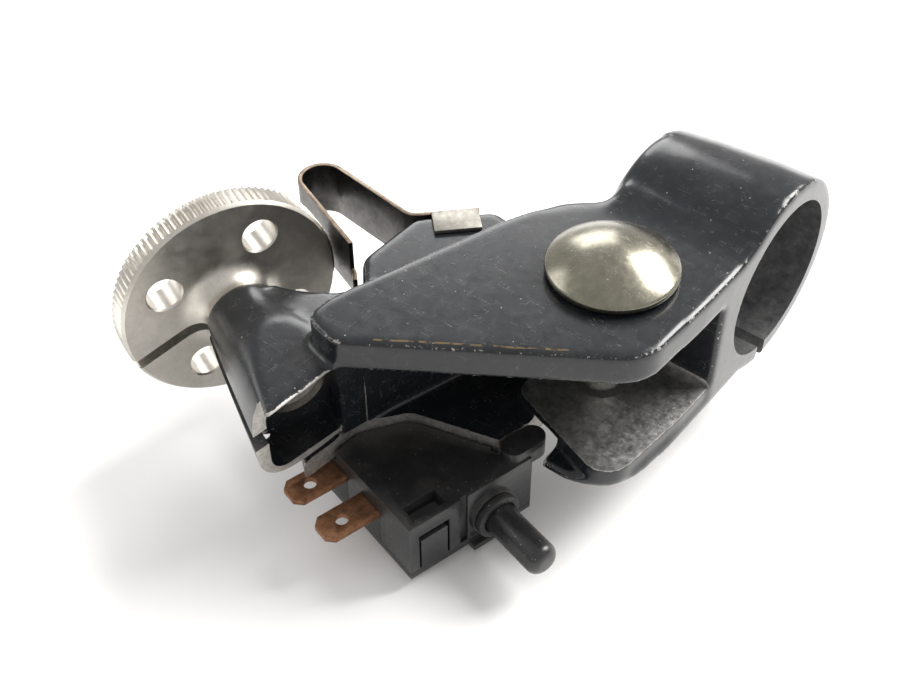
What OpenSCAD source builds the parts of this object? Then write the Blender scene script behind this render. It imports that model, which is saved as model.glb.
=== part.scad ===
// Left-hand clutch lever bracket for a 22 mm handlebar, without its lever or cable.
// Origin: centre of the handlebar bore. X runs along the bar towards the grip,
// Y points back to the rider and Z points up, along the lever pivot.

/* [Handlebar clamp] */
// Diameter of the handlebar bore
bar_bore_d = 22.2; // [21:0.1:24]
// Wall of the clamp ring
ring_wall = 2.8; // [2.2:0.1:4]
// Length of the clamp ring along the bar
ring_len = 21.5; // [19:0.5:26]
// Width of the slit that lets the ring close
slit_w = 2; // [1:0.1:3]
// Thread diameter of the clamp screw
clamp_screw_d = 5; // [4:0.5:6]
// Diameter of the clamp screw's head
clamp_head_d = 8.5; // [7.5:0.1:9.5]

/* [Lever plates] */
// Height of the lever slot, from the machined pad to the upper plate
slot_h = 13.8; // [11:0.1:16]
// Thickness of the upper plate
upper_plate_t = 4.5; // [3:0.1:6]
// Thickness of the lower plate under the slot floor
lower_plate_t = 2.9; // [2.2:0.1:3]
// Height of the machined pad above the slot floor
pad_step = 1.4; // [0.6:0.1:2]
// Height of the upper plate's underside above the bore axis
slot_top_z = 5.5; // [4:0.1:7]
// Distance from the bore axis to the slot's back wall
slot_back = 15.2; // [14.8:0.1:16.5]

/* [Lever pivot] */
// Pivot position along the bar
pivot_x = -1.3; // [-3:0.1:1]
// Distance of the pivot in front of the bore axis
pivot_out = 22.4; // [22:0.1:24.5]
// Diameter of the pivot shaft
pivot_d = 5.6; // [4.5:0.1:6.5]
// Diameter of the domed head
dome_d = 16.4; // [14:0.1:18]
// Height of the domed head above its rim
dome_h = 2.9; // [2:0.1:4]
// Clearance round the pivot shaft in the plates
pivot_clear = 0.05; // [0.03:0.01:0.08]

/* [Cable adjuster] */
// Diameter of the knurled wheel
wheel_d = 30; // [26:0.5:32]
// Thickness of the knurled wheel
wheel_t = 4.2; // [3.4:0.1:5]
// Diameter of the adjuster's stem
stem_d = 8; // [7:0.1:8.6]
// Length of the stem from the wheel's face
stem_len = 14.5; // [12:0.5:16]
// Clearance round the stem in the housing
stem_clear = 0.08; // [0.04:0.01:0.1]
// Width of the cable's slot in the front of the housing
cable_slot_w = 2.6; // [1.8:0.1:3]
// Width of the cable's slot in the wheel and its stem
wheel_slot_w = 1.5; // [1.2:0.1:2.4]
// Diameter of the seat for the cable's end cap
cable_seat_d = 5.6; // [4.6:0.1:6]
// Angle of the adjuster's axis away from the bar
adjuster_angle = 20.5; // [18:0.5:22]

/* [Wheel spring] */
// Thickness of the leaf spring
leaf_t = 0.6; // [0.4:0.1:0.8]
// Width of the leaf spring
leaf_w = 8; // [6:0.5:9]

/* [Clutch switch] */
// Length of the switch housing along the plunger
switch_len = 19.6; // [19:0.1:22]
// Width of the switch housing across the plunger
switch_w = 19; // [18:0.1:20]
// Wall of the switch housing
switch_wall = 1.3; // [1:0.1:1.6]
// Diameter of the plunger
plunger_d = 4.4; // [3.4:0.1:4.8]
// Length of plunger outside the housing
plunger_out = 11; // [8:0.1:12]
// Travel of the plunger
plunger_travel = 5; // [3:0.1:5]
// Clearance round the plunger in its hole
plunger_clear = 0.08; // [0.04:0.01:0.1]
// Width of the terminal blades
blade_w = 4.2; // [3:0.1:4.8]
// Thickness of the terminal blades
blade_t = 0.8; // [0.5:0.1:1]
// Length of the terminal blades outside the housing
blade_out = 7.4; // [5:0.1:9]
// Distance between the two terminals
blade_pitch = 7.2; // [6:0.1:7.4]

/* [Hidden] */
$fn = 72;
cut = 0.01;
black = "#1d1f22";
steel = "#8d8a83";
sheet_steel = "#4b4947";
copper = "#9a5f3c";

// Clamp ring
bore_r = bar_bore_d / 2;
ring_r = bore_r + ring_wall;
half_len = ring_len / 2;
slit_y = -1.1;
lug_x = -4;
lug_half = 5;
lug_front = 6.2;

// Levels of the plates
plate_top = slot_top_z + upper_plate_t;
pad_z = slot_top_z - slot_h;
floor_z = pad_z - pad_step;
floor_low = floor_z - lower_plate_t;
flange_top = pad_z - 2.3;
flange_low = flange_top - 1.6;
rim_gap = 0.3;
pivot_y = -pivot_out;

// Clamp screw, below both the ring and the flange of the pad
washer_d = clamp_head_d + 1.5;
clamp_z = min(-bore_r - clamp_screw_d / 2 - 3.2, flange_low - washer_d / 2 - 0.3);
lug_low = clamp_z - clamp_screw_d / 2 - 2;

// Adjuster axis, level with the middle of its housing
wheel_x = -42.86;
wheel_y = -46.75;
axis_z = -0.8;
mouth_x = -22;
mouth_s = (mouth_x - wheel_x) / cos(adjuster_angle);
neck_len = 3;
housing_r = 5.26;
cable_slot_turn = 290;
chamber_depth = 4.5;

// Leaf spring, screwed to the slanted back face of its lug
lug_top = 4.6;
lug_inner = [-23.6, -16.4];
lug_outer = [-31, -24.1];
leaf_back = (lug_inner + lug_outer) / 2;
leaf_dir = atan2(lug_inner.y - lug_outer.y, lug_inner.x - lug_outer.x);
leaf_low = lug_top + 0.2 - leaf_w;
leaf_screw_d = 2.6;

// Switch frame: its own X is the direction of the plunger
switch_x = -3.1;
switch_y = -43.4;
switch_turn = -14;
switch_z = floor_low - 3.2;
switch_gap = 0.35;
switch_left = -12.3;
switch_top = floor_z - 1.3;
switch_shelf = floor_low - 0.25;
base_t = 1.2;
switch_low = switch_z - 3.7;
carrier_h = 2.8;
carrier_len = 11.4;
carrier_front = -switch_wall - 0.35;
blade_inner = -8.5;
blade_outer = blade_inner - blade_pitch;
blade_z = switch_z + 1.4;
switch_screw_x = -11;
switch_screw_y = 4.1;
switch_screw_d = 2.5;
screw_seat_d = 4.6;
chamber_top = max(switch_z + carrier_h / 2 + 0.15, blade_z + blade_t / 2);
latch_y = -10.6;
latch_w = 4;
spring_od = 2;
spring_depth = 6;
spring_wire = 0.3;
bridge_len = 8.6;
bridge_x = blade_inner - bridge_len / 2 - 1.2 + plunger_travel / 2;
finger_y = -carrier_h / 2 - 0.15;

function unit(v) = v / norm(v);

// Points of one rounded corner b between a and c, with radius r
function corner(a, b, c, r, steps = 8) =
    let (u = unit(a - b), v = unit(c - b), half = acos(u * v) / 2)
    let (centre = b + unit(u + v) * r / sin(half))
    let (s = b + u * r / tan(half) - centre, e = b + v * r / tan(half) - centre)
    let (a0 = atan2(s.y, s.x), turn = (atan2(e.y, e.x) - a0 + 540) % 360 - 180)
    [for (k = [0:steps]) centre + r * [cos(a0 + turn * k / steps), sin(a0 + turn * k / steps)]];

// Outline through points [x, y, corner radius]
function rounded(p) =
    [for (i = [0:len(p) - 1])
        let (a = p[(i + len(p) - 1) % len(p)], b = p[i], c = p[(i + 1) % len(p)])
        each (b.z > 0 ? corner([a.x, a.y], [b.x, b.y], [c.x, c.y], b.z) : [[b.x, b.y]])];

// Front edge of the lower plate beside the switch, moved out by g
function plate_front(g) = [
    [-4.6 + g, -37.8 - g, 0],
    [-17.6, -41.4 - g, 3.5],
    [-21.6 + g, -47.5, 3],
    [-22 + g, -57 - g, 0]];

module slab(points, z0, z1) {
    translate([0, 0, z0])
        linear_extrude(z1 - z0)
            polygon(rounded(points));
}

module on_adjuster(s = 0) {
    translate([wheel_x, wheel_y, axis_z])
        rotate([0, 0, -adjuster_angle])
            translate([s, 0, 0])
                rotate([0, 90, 0])
                    children();
}

module on_switch() {
    translate([switch_x, switch_y, 0])
        rotate([0, 0, switch_turn])
            children();
}

module along_y(x, y, z) {
    translate([x, y, z])
        rotate([-90, 0, 0])
            children();
}

// Plan outline of the upper plate
function plate_outline() = [[half_len, -5, 0], [half_len, -20, 0], [10.2, -32.4, 6.5],
    [-19.3, -52.2, 2.5], [-25.4, -50.9, 2.5], [-24.6, -45.5, 3], [-17.6, -22.5, 8],
    [-14.2, -14.6, 4], [-9.6, -10.5, 3], [-9.6, -5, 0]];

module upper_plate() {
    slab(plate_outline(), slot_top_z, plate_top);
}

// Wall that closes the lever slot at the back, from the ring to the adjuster housing
module back_wall() {
    slab([[half_len - 0.05, -6, 0], [half_len - 0.05, -slot_back, 0], [-9, -slot_back, 5],
        [-15.2, -27, 8], [-19.8, -43, 4], [-21.2, -50, 0], [-24.6, -49.6, 0],
        [-24.1, -45.2, 3], [-17.2, -22.5, 8], [-13.8, -14.6, 4], [-9.2, -10.2, 3],
        [-9.2, -6, 0]], floor_z - 0.6, slot_top_z + 1);
}

// Floor of the slot to the left of the pivot
module lower_plate() {
    slab(concat([[-3, -16, 0], [-3, -33, 0], [-4.6, -33, 0]], plate_front(0),
        [[-25.3, -52, 1.5], [-24.9, -45.5, 3], [-17.9, -22.5, 8], [-14.5, -14.2, 3]]),
        floor_low, floor_z);
}

// Ring round the handlebar, a little slimmer at the inboard end
module clamp_ring() {
    rotate([0, 90, 0])
        rotate_extrude()
            polygon([[bore_r - 1, -half_len], [ring_r - 1.4, -half_len],
                [ring_r - 0.5, -half_len * 0.4], [ring_r, half_len * 0.4],
                [ring_r, half_len], [bore_r - 1, half_len]]);
}

// Concave sweep from the upper plate up to the top of the ring
module saddle() {
    sweep_r = 12;
    centre_z = plate_top + sweep_r;
    centre_y = -sqrt(pow(ring_r + sweep_r, 2) - pow(centre_z, 2));
    end_angle = atan2(centre_z, -centre_y);
    steps = 7;
    arc = [for (k = [0:steps])
        let (a = -90 + (90 - end_angle - 6) * k / steps)
        [centre_y + sweep_r * cos(a), centre_z + sweep_r * sin(a)]];
    translate([-half_len + 0.8, 0, 0])
        rotate([90, 0, 90])
            linear_extrude(ring_len - 0.8)
                polygon(concat([[centre_y - 3, plate_top - 1]], arc,
                    [[-ring_r * 0.3, ring_r * 0.8], [-ring_r * 0.6, 0]]));
}

// Machined pad round the pivot, with the flange that carries it
module pivot_pad() {
    slab([[half_len - 0.1, -5, 0], [half_len - 0.1, -24, 0], [9.6, -36.8, 8.2], [-1.6, -36.8, 2],
        [-2.6, -33, 0], [-9.6, -27, 0], [-9.6, -5, 0]], flange_low, flange_top);
    slab([[half_len - 0.6, -7, 0], [half_len - 0.6, -22, 0], [9.1, -35.9, 3.2], [5.4, -35.3, 0.6],
        [-3.3, -32.4, 6], [-8.5, -30.6, 2], [-9.1, -7, 0]], flange_top - 0.7, pad_z);
}

// Downturned end of the lower plate beside the switch
module plate_end() {
    slab([[-5.9, -38.3, 0], [-4.6, -38.1, 0], [-4.6, -33, 0], [-5.9, -33, 0]],
        floor_low - 1.4, floor_z - 0.4);
}

// Housing that the adjuster screws into, open towards the lever slot
module adjuster_housing() {
    lean = 2.3;
    intersection() {
        on_adjuster(neck_len)
            cylinder(r1 = housing_r, r2 = housing_r + 3.54, h = mouth_s - neck_len + 6);
        slab([[-50, -20, 0], [-50, -72, 0], [mouth_x - lean, -72, 0], [mouth_x + lean, -38, 0],
            [mouth_x + 6, -20, 0]], floor_low, slot_top_z + 0.3);
    }
}

// Web that ties the top of the housing to the back of the plates
module housing_web() {
    slab([[-36.8, -44.4, 0], [-32.8, -44.1, 0], [-28.6, -42, 0], [-26.4, -38, 0],
        [-22.5, -40, 0], [-24, -49, 0]], slot_top_z - 5.8, slot_top_z - 0.9);
}

// Solid lug behind the plates, which carries the leaf spring
module rear_lug() {
    slab([[-13, -22, 0], [-20.4, -16.6, 1.2],
        [lug_inner.x, lug_inner.y, 1.5], [lug_outer.x, lug_outer.y, 1.2],
        [-31, -34.5, 3.5], [-26.5, -39.4, 2], [-20, -36, 0]], lug_top - 11.5, lug_top);
}

module clamp_lugs() {
    translate([lug_x - lug_half, slit_y - lug_front, lug_low])
        cube([2 * lug_half, 2 * lug_front, -bore_r - lug_low]);
}

// Hole for the clamp screw, with a hexagon pocket for its nut
module clamp_hole() {
    along_y(lug_x, slit_y - lug_front - 1, clamp_z)
        cylinder(d = clamp_screw_d + 0.5, h = 2 * lug_front + 2);
    along_y(lug_x, slit_y + lug_front - 2.2, clamp_z)
        cylinder(d = clamp_screw_d * 1.84 + 0.2, h = 5, $fn = 6);
}

module perch_casting() {
    color(black)
    difference() {
        union() {
            clamp_ring();
            saddle();
            upper_plate();
            back_wall();
            lower_plate();
            pivot_pad();
            plate_end();
            adjuster_housing();
            housing_web();
            rear_lug();
            clamp_lugs();
        }
        rotate([0, 90, 0])
            cylinder(r = bore_r, h = 4 * ring_len, center = true);
        translate([-2 * half_len, slit_y - slit_w / 2, -2 * ring_r])
            cube([4 * half_len, slit_w, 2 * ring_r]);
        clamp_hole();
        // Pivot holes
        translate([pivot_x, pivot_y, flange_low - 1])
            cylinder(r = pivot_d / 2 + pivot_clear, h = 40);
        // Threaded hole and the wider chamber behind the mouth
        on_adjuster(neck_len - 1)
            cylinder(r = stem_d / 2 + stem_clear, h = mouth_s - chamber_depth - neck_len + 1.2);
        on_adjuster(mouth_s - chamber_depth)
            linear_extrude(14)
                polygon(rounded([[-4.8, 3.6, 0], [-4.8, -6, 3], [5.6, -6, 3.5], [5.6, 3.6, 0]]));
        // Cable slot in the front of the housing
        on_adjuster(neck_len - 1)
            translate([-cable_slot_w / 2, -20, 0])
                cube([cable_slot_w, 20, 30]);
        ear(switch_gap, flange_low - 2.5, floor_z + 1);
        // Blind threaded hole for the switch screw
        on_switch()
            translate([switch_screw_x, switch_screw_y, floor_low - 1])
                cylinder(d = switch_screw_d + 0.1, h = lower_plate_t + 0.5);
        leaf_hole();
    }
}

module leaf_hole() {
    on_leaf()
        translate([0, 0, -6])
            cylinder(d = leaf_screw_d + 0.1, h = 8);
}

// Local Z points out of the lug's slanted back face
module on_leaf() {
    translate([leaf_back.x, leaf_back.y, leaf_low + leaf_w / 2])
        rotate([0, 0, leaf_dir])
            rotate([-90, 0, 0])
                children();
}

module clamp_screw() {
    color(steel)
    difference() {
        union() {
            along_y(lug_x, slit_y - lug_front - 1 - 4, clamp_z)
                cylinder(d = clamp_head_d, h = 4);
            along_y(lug_x, slit_y - lug_front - 1.5, clamp_z)
                cylinder(d = clamp_screw_d, h = 2 * lug_front + 1.5);
        }
        along_y(lug_x, slit_y - lug_front - 6, clamp_z)
            cylinder(d = 4.6, h = 3.4, $fn = 6);
    }
}

module ring_washer(outer, inner, h) {
    difference() {
        cylinder(d = outer, h = h);
        translate([0, 0, -1])
            cylinder(d = inner, h = h + 2);
    }
}

module clamp_washer() {
    color(steel)
        along_y(lug_x, slit_y - lug_front - 1, clamp_z)
            ring_washer(washer_d, clamp_screw_d + 0.2, 1);
}

module hex_nut(d, across, h) {
    difference() {
        cylinder(d = across / cos(30), h = h, $fn = 6);
        translate([0, 0, -1])
            cylinder(d = d, h = h + 2);
    }
}

module clamp_nut() {
    color(steel)
        along_y(lug_x, slit_y + lug_front - 2.2, clamp_z)
            hex_nut(clamp_screw_d, clamp_screw_d * 1.6, 4);
}

module pivot_bolt() {
    rim_h = 0.9;
    seat_z = plate_top + 0.4;
    sphere_r = (pow(dome_d / 2, 2) + pow(dome_h, 2)) / (2 * dome_h);
    dome_angle = asin(dome_d / 2 / sphere_r);
    dome_steps = 12;
    color(steel)
    translate([pivot_x, pivot_y, 0])
        rotate_extrude()
            polygon(concat([[0, flange_low - 6.5], [pivot_d / 2, flange_low - 6.5],
                [pivot_d / 2, seat_z], [dome_d / 2, seat_z]],
                [for (k = [0:dome_steps - 1])
                    let (a = dome_angle * (1 - k / dome_steps))
                    [sphere_r * sin(a), seat_z + rim_h + dome_h - sphere_r * (1 - cos(a))]],
                [[0, seat_z + rim_h + dome_h]]));
}

module pivot_washer() {
    color(steel)
        translate([pivot_x, pivot_y, plate_top])
            ring_washer(dome_d - 1.6, pivot_d + 0.2, 0.4);
}

module pivot_nut() {
    color(steel)
        translate([pivot_x, pivot_y, min(flange_low, floor_low) - 5])
            hex_nut(pivot_d, pivot_d * 1.7, 5);
}

module cable_adjuster() {
    hub_r = 7.2;
    hub_h = 2.6;
    hub_steps = 8;
    rim_chamfer = 0.5;
    neck_r = stem_d / 2 + 0.3;
    hole_circle = wheel_d * 0.33;
    flare = [for (k = [0:hub_steps])
        let (a = 90 * k / hub_steps)
        [hub_r - (hub_r - neck_r) * sin(a), hub_h * (1 - cos(a))]];
    color(steel)
    on_adjuster(-wheel_t)
    difference() {
        union() {
            rotate_extrude()
                polygon(concat([[0, 0], [wheel_d / 2 - rim_chamfer, 0],
                    [wheel_d / 2, rim_chamfer], [wheel_d / 2, wheel_t - rim_chamfer],
                    [wheel_d / 2 - rim_chamfer, wheel_t]],
                    [for (p = flare) [p.x, p.y + wheel_t]],
                    [[0, wheel_t + hub_h]]));
            cylinder(r = neck_r, h = wheel_t + neck_len - 0.6);
            cylinder(d = stem_d, h = wheel_t + stem_len);
        }
        // Four lightening holes
        for (a = [45:90:315])
            rotate([0, 0, a + 16])
                translate([hole_circle, 0, -1])
                    cylinder(d = 4.6, h = wheel_t + 2);
        // Seat for the cable's end cap, and the hole for the inner cable
        translate([0, 0, -1])
            cylinder(d = cable_seat_d, h = wheel_t + 8);
        cylinder(d = 2.6, h = 40);
        // Radial slot that lets the cable in
        rotate([0, 0, cable_slot_turn])
            translate([0, -wheel_slot_w / 2, -1])
                cube([wheel_d, wheel_slot_w, 60]);
    }
}

// One side of a strip along a plan path, at distance d to the left of it
function side(path, d) =
    [for (i = [0:len(path) - 1])
        let (before = unit(path[max(i, 1)] - path[max(i, 1) - 1]))
        let (after = unit(path[min(i, len(path) - 2) + 1] - path[min(i, len(path) - 2)]))
        let (mid = unit(before + after))
        path[i] + [-mid.y, mid.x] * d / (mid * after)];

function reversed(list) = [for (i = [len(list) - 1:-1:0]) list[i]];

module leaf_spring() {
    half = leaf_t / 2;
    out = [-sin(leaf_dir), cos(leaf_dir)];
    along = [cos(leaf_dir), sin(leaf_dir)];
    start = leaf_back + out * half + along * 3.4;
    knee = leaf_back + out * half - along * 5.9;
    axis = [cos(adjuster_angle), -sin(adjuster_angle)];
    rim_out = [sin(adjuster_angle), cos(adjuster_angle)];
    touch = [wheel_x, wheel_y] + rim_out * (wheel_d / 2 + rim_gap + half);
    loop_r = 3.1;
    loop_centre = touch - axis * 10.6 + rim_out * loop_r;
    loop_steps = 10;
    loop = [for (k = [0:loop_steps])
        let (a = 84 + (186 - adjuster_angle) * k / loop_steps)
        loop_centre + loop_r * [cos(a), sin(a)]];
    nose = touch + axis * 3.4;
    tip = nose + unit(axis - rim_out * 0.3) * 2.6;
    path = concat([start, knee], loop, [nose, tip]);
    color(sheet_steel)
    difference() {
        union() {
            translate([0, 0, leaf_low])
                linear_extrude(leaf_w)
                    polygon(concat(side(path, half), reversed(side(path, -half))));
            // Tab folded over the top of the lug
            translate([leaf_back.x, leaf_back.y, leaf_low + leaf_w - 0.1])
                rotate([0, 0, leaf_dir])
                    translate([-3.1, -4, 0])
                        cube([6.3, 4 + leaf_t, leaf_t]);
        }
        // Narrower tip
        translate([nose.x, nose.y, leaf_low + leaf_w * 0.6])
            rotate([0, 0, -adjuster_angle])
                translate([0.5, -3, 0])
                    cube([6, 6, leaf_w]);
        on_leaf()
            translate([0, 0, -2])
                cylinder(d = leaf_screw_d + 0.2, h = 6);
    }
}

module leaf_screw() {
    color(steel)
    on_leaf()
    translate([0, 0, leaf_t])
        difference() {
            union() {
                cylinder(d = 4.6, h = 1.4);
                translate([0, 0, -5.2])
                    cylinder(d = leaf_screw_d, h = 5.3);
            }
            translate([-3, -0.4, 0.8])
                cube([6, 0.8, 2]);
        }
}

// Round-ended ear of the switch, which sits in a notch of the lower plate
module ear(g, z0, z1) {
    on_switch()
        slab([[-3.6 - g, 3.6 - g, 1.6], [-0.3 + g, 3.6 - g, 1.6], [-0.3 + g, 9.9 + g, 1.6],
            [-3.6 - g, 9.9 + g, 1.6]], z0, z1);
}

module switch_shell() {
    on_switch() {
        translate([-switch_len, switch_left, switch_low])
            cube([switch_len, switch_w, switch_shelf - switch_low]);
        translate([-switch_len, switch_left, switch_shelf - cut])
            cube([switch_len, switch_w, switch_top - switch_shelf]);
    }
}

module switch_housing() {
    color(black)
    difference() {
        union() {
            difference() {
                switch_shell();
                // Step that the lower plate's edge sits in
                slab(concat(plate_front(switch_gap),
                    [[-40, -60, 0], [-40, -20, 0], [-4.6 + switch_gap, -20, 0]]),
                    switch_shelf, switch_top + 2);
                slab([[-6.4, -39.2, 0], [-4.1, -38.9, 0], [-4.1, -30, 0], [-6.4, -30, 0]],
                    floor_low - 1.7, switch_top + 2);
            }
            ear(0, switch_top - 1.4, switch_top + 1.5);
            // Collar round the plunger
            on_switch()
                translate([-cut, 0, switch_z])
                    rotate([0, 90, 0])
                        cylinder(r = plunger_d / 2 + 1.1, h = 0.9 + cut);
        }
        on_switch() {
            // Chamber for the contacts, open underneath
            translate([-switch_len + switch_wall, switch_left + switch_wall, switch_low - 1])
                cube([switch_len - 2 * switch_wall, 12.6 - switch_wall, chamber_top - switch_low + 1]);
            // Channel for the carrier
            translate([-switch_len + switch_wall, -carrier_h / 2 - 0.15, switch_low - 1])
                cube([switch_len - 2 * switch_wall, carrier_h + 0.3, chamber_top - switch_low + 1]);
            translate([carrier_front - plunger_travel - 1, 0, switch_z])
                rotate([0, 90, 0])
                    cylinder(r = plunger_d / 2 + plunger_clear, h = plunger_travel + 6);
            // Slots for the terminals
            for (x = [blade_inner, blade_outer])
                translate([x - blade_w / 2, switch_left - 1, switch_low - 1])
                    cube([blade_w, switch_wall + 2, blade_z + blade_t / 2 - switch_low + 1]);
            // Window for the base's latch
            translate([-1.2, latch_y - 0.3, switch_low - 1])
                cube([3, latch_w + 0.6, switch_top - 1.2 - switch_low]);
            translate([-3.4, switch_left + 1.4, switch_top - 2.2])
                cube([2.4, 4.8, 4]);
            // Groove beside the plunger
            translate([-0.4, -4.6, switch_low - 1])
                cube([2, 1.1, 20]);
            // Hole and counterbore for the fixing screw
            translate([switch_screw_x, switch_screw_y, switch_low - 2])
                cylinder(d = switch_screw_d + 0.4, h = 20);
            translate([switch_screw_x, switch_screw_y, switch_low - 2])
                cylinder(d = screw_seat_d, h = 4.3);
        }
    }
}

module switch_base() {
    color(black)
    on_switch()
    difference() {
        union() {
            translate([-switch_len, switch_left, switch_low - base_t])
                cube([switch_len, switch_w, base_t]);
            // Latch that clips in the window
            translate([-0.9, latch_y, switch_low - base_t])
                cube([0.9, latch_w, base_t + 5.2]);
            // Foot under the plunger
            translate([-6, -3, switch_low - base_t - 0.8])
                cube([6.8, 6, 0.9]);
            // Ribs that press the terminals up into their slots
            for (x = [blade_inner, blade_outer])
                translate([x - blade_w / 2 + 0.1, switch_left, switch_low - cut])
                    cube([blade_w - 0.2, switch_wall, blade_z - blade_t / 2 - switch_low]);
        }
        translate([switch_screw_x, switch_screw_y, switch_low - 3])
            cylinder(d = screw_seat_d, h = 6);
    }
}

module switch_screw() {
    color(steel)
    on_switch()
    translate([switch_screw_x, switch_screw_y, switch_low + 1.6])
        difference() {
            union() {
                translate([0, 0, -1.8])
                    cylinder(d = screw_seat_d - 0.4, h = 1.8);
                cylinder(d = switch_screw_d, h = floor_z - switch_low - 2.2);
            }
            translate([-4, -0.4, -3])
                cube([8, 0.8, 2]);
        }
}

module switch_washer() {
    color(steel)
    on_switch()
    translate([switch_screw_x, switch_screw_y, switch_low + 1.6])
        ring_washer(screw_seat_d - 0.2, switch_screw_d + 0.2, 0.7);
}

module plunger() {
    tip_r = 1.3;
    rear = carrier_front - carrier_len;
    color("#17181a")
    on_switch()
    translate([0, 0, switch_z])
    difference() {
        union() {
            rotate([0, 90, 0])
                rotate_extrude()
                    polygon(concat([[0, carrier_front - 0.4]], [[plunger_d / 2, carrier_front - 0.4]],
                        [for (k = [0:8])
                            let (a = 90 * k / 8)
                            [plunger_d / 2 - tip_r + tip_r * cos(a),
                                plunger_out - tip_r + tip_r * sin(a)]],
                        [[0, plunger_out]]));
            translate([rear, -carrier_h / 2, -carrier_h / 2])
                cube([carrier_len, carrier_h, carrier_h]);
        }
        translate([rear - 1, 0, 0])
            rotate([0, 90, 0])
                cylinder(d = spring_od + 0.3, h = spring_depth + 1);
        // Seat for the contact bridge
        translate([bridge_x, -carrier_h / 2 - 1, -1])
            cube([bridge_len, 1.3, 2]);
    }
}

module plunger_seal() {
    color("#101112")
    on_switch()
        translate([0.9, 0, switch_z])
            rotate([0, 90, 0])
                difference() {
                    cylinder(r = plunger_d / 2 + 0.95, h = 1.2);
                    translate([0, 0, -1])
                        cylinder(r = plunger_d / 2 + plunger_clear, h = 4);
                }
}

module contact_bridge() {
    color("silver")
    on_switch()
        translate([bridge_x, -carrier_h / 2, switch_z - 1])
            cube([bridge_len, 0.3, 2]);
}

// Wire of radius w along a helix of radius r on the X axis
module coil(length, r, w, turns) {
    sides = 8;
    per_turn = 14;
    rings = turns * per_turn;
    points = [for (i = [0:rings])
        let (a = 360 * i / per_turn, x = w + (length - 2 * w) * i / rings)
        for (k = [0:sides - 1])
            let (b = 360 * k / sides)
            [x + w * sin(b), (r + w * cos(b)) * cos(a), (r + w * cos(b)) * sin(a)]];
    walls = [for (i = [0:rings - 1], k = [0:sides - 1])
        let (m = (k + 1) % sides)
        [i * sides + k, i * sides + m, (i + 1) * sides + m, (i + 1) * sides + k]];
    ends = [[for (k = [sides - 1:-1:0]) k], [for (k = [0:sides - 1]) rings * sides + k]];
    polyhedron(points, concat(walls, ends));
}

module return_spring() {
    back = -switch_len + switch_wall + 0.05;
    front = carrier_front - carrier_len + spring_depth - 0.05;
    color(steel)
    on_switch()
        translate([back, 0, switch_z])
            coil(front - back, spring_od / 2 - spring_wire / 2, spring_wire / 2, 5);
}

// Blade outside, with an arm to a wiping finger beside the bridge
module terminal(x) {
    tip_chamfer = 1;
    outer = switch_left - blade_out;
    on_switch()
    translate([x, 0, blade_z - blade_t / 2])
    difference() {
        linear_extrude(blade_t)
            polygon([[-blade_w / 2, finger_y - 2.6], [-blade_w / 2, outer + tip_chamfer],
                [-blade_w / 2 + tip_chamfer, outer], [blade_w / 2 - tip_chamfer, outer],
                [blade_w / 2, outer + tip_chamfer], [blade_w / 2, finger_y - 2.6],
                [1, finger_y - 0.9], [-1, finger_y - 0.9]]);
        translate([0, outer + 3.2, -1])
            cylinder(d = 1.7, h = 4);
    }
}

module terminal_inner() {
    color(copper)
        terminal(blade_inner);
}

module terminal_outer() {
    color(copper)
        terminal(blade_outer);
}

module contact_tips() {
    color("silver")
    for (x = [blade_inner, blade_outer])
        on_switch()
            translate([x - 0.8, finger_y - 0.9, switch_z - 0.8])
                cube([1.6, 0.8, blade_z - switch_z + 1.2]);
}

perch_casting();
clamp_screw();
clamp_washer();
clamp_nut();
pivot_bolt();
pivot_washer();
pivot_nut();
cable_adjuster();
leaf_spring();
leaf_screw();
switch_housing();
switch_base();
switch_screw();
switch_washer();
plunger();
plunger_seal();
contact_bridge();
return_spring();
terminal_inner();
terminal_outer();
contact_tips();
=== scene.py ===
from math import acos, asin, atan2, cos, pi, radians, sin, sqrt, tan

import bmesh
import bpy
import numpy as np
from mathutils import Matrix, Vector


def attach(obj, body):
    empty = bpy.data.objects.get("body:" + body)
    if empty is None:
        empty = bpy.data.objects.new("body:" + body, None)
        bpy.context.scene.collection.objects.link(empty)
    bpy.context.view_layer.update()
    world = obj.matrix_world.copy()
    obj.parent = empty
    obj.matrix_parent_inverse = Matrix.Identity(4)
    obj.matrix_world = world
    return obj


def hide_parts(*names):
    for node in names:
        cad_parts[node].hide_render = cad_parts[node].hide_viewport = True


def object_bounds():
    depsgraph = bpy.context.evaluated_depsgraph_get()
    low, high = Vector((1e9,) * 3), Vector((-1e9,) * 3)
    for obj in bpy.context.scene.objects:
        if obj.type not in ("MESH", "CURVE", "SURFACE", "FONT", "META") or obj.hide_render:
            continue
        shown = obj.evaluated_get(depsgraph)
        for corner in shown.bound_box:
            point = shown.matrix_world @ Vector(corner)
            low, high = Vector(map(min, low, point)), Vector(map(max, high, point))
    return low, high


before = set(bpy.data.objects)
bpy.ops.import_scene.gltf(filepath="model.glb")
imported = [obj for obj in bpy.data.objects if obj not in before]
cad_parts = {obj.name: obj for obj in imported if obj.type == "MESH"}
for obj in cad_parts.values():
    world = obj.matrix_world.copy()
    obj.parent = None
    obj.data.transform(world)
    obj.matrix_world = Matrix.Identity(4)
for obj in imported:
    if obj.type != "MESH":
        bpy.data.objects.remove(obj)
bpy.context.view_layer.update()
mm = 0.001
scene = bpy.context.scene
print("frame loaded")

# shared places, in millimetres
bore = {"radius": 11.1, "wall": 2.8, "half": 10.75}
levels = {"plateTop": 10.0, "slotTop": 5.5, "pad": -8.3, "floor": -9.7, "floorLow": -12.6,
          "flangeTop": -10.6, "flangeLow": -12.2}
adjuster = {"x": -42.86, "y": -46.75, "z": -0.8, "angle": radians(-20.5), "mouth": 22.27}
switchPlace = {"x": -3.1, "y": -43.4, "turn": radians(-14)}
pivot = {"x": -1.3, "y": -22.4}


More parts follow.
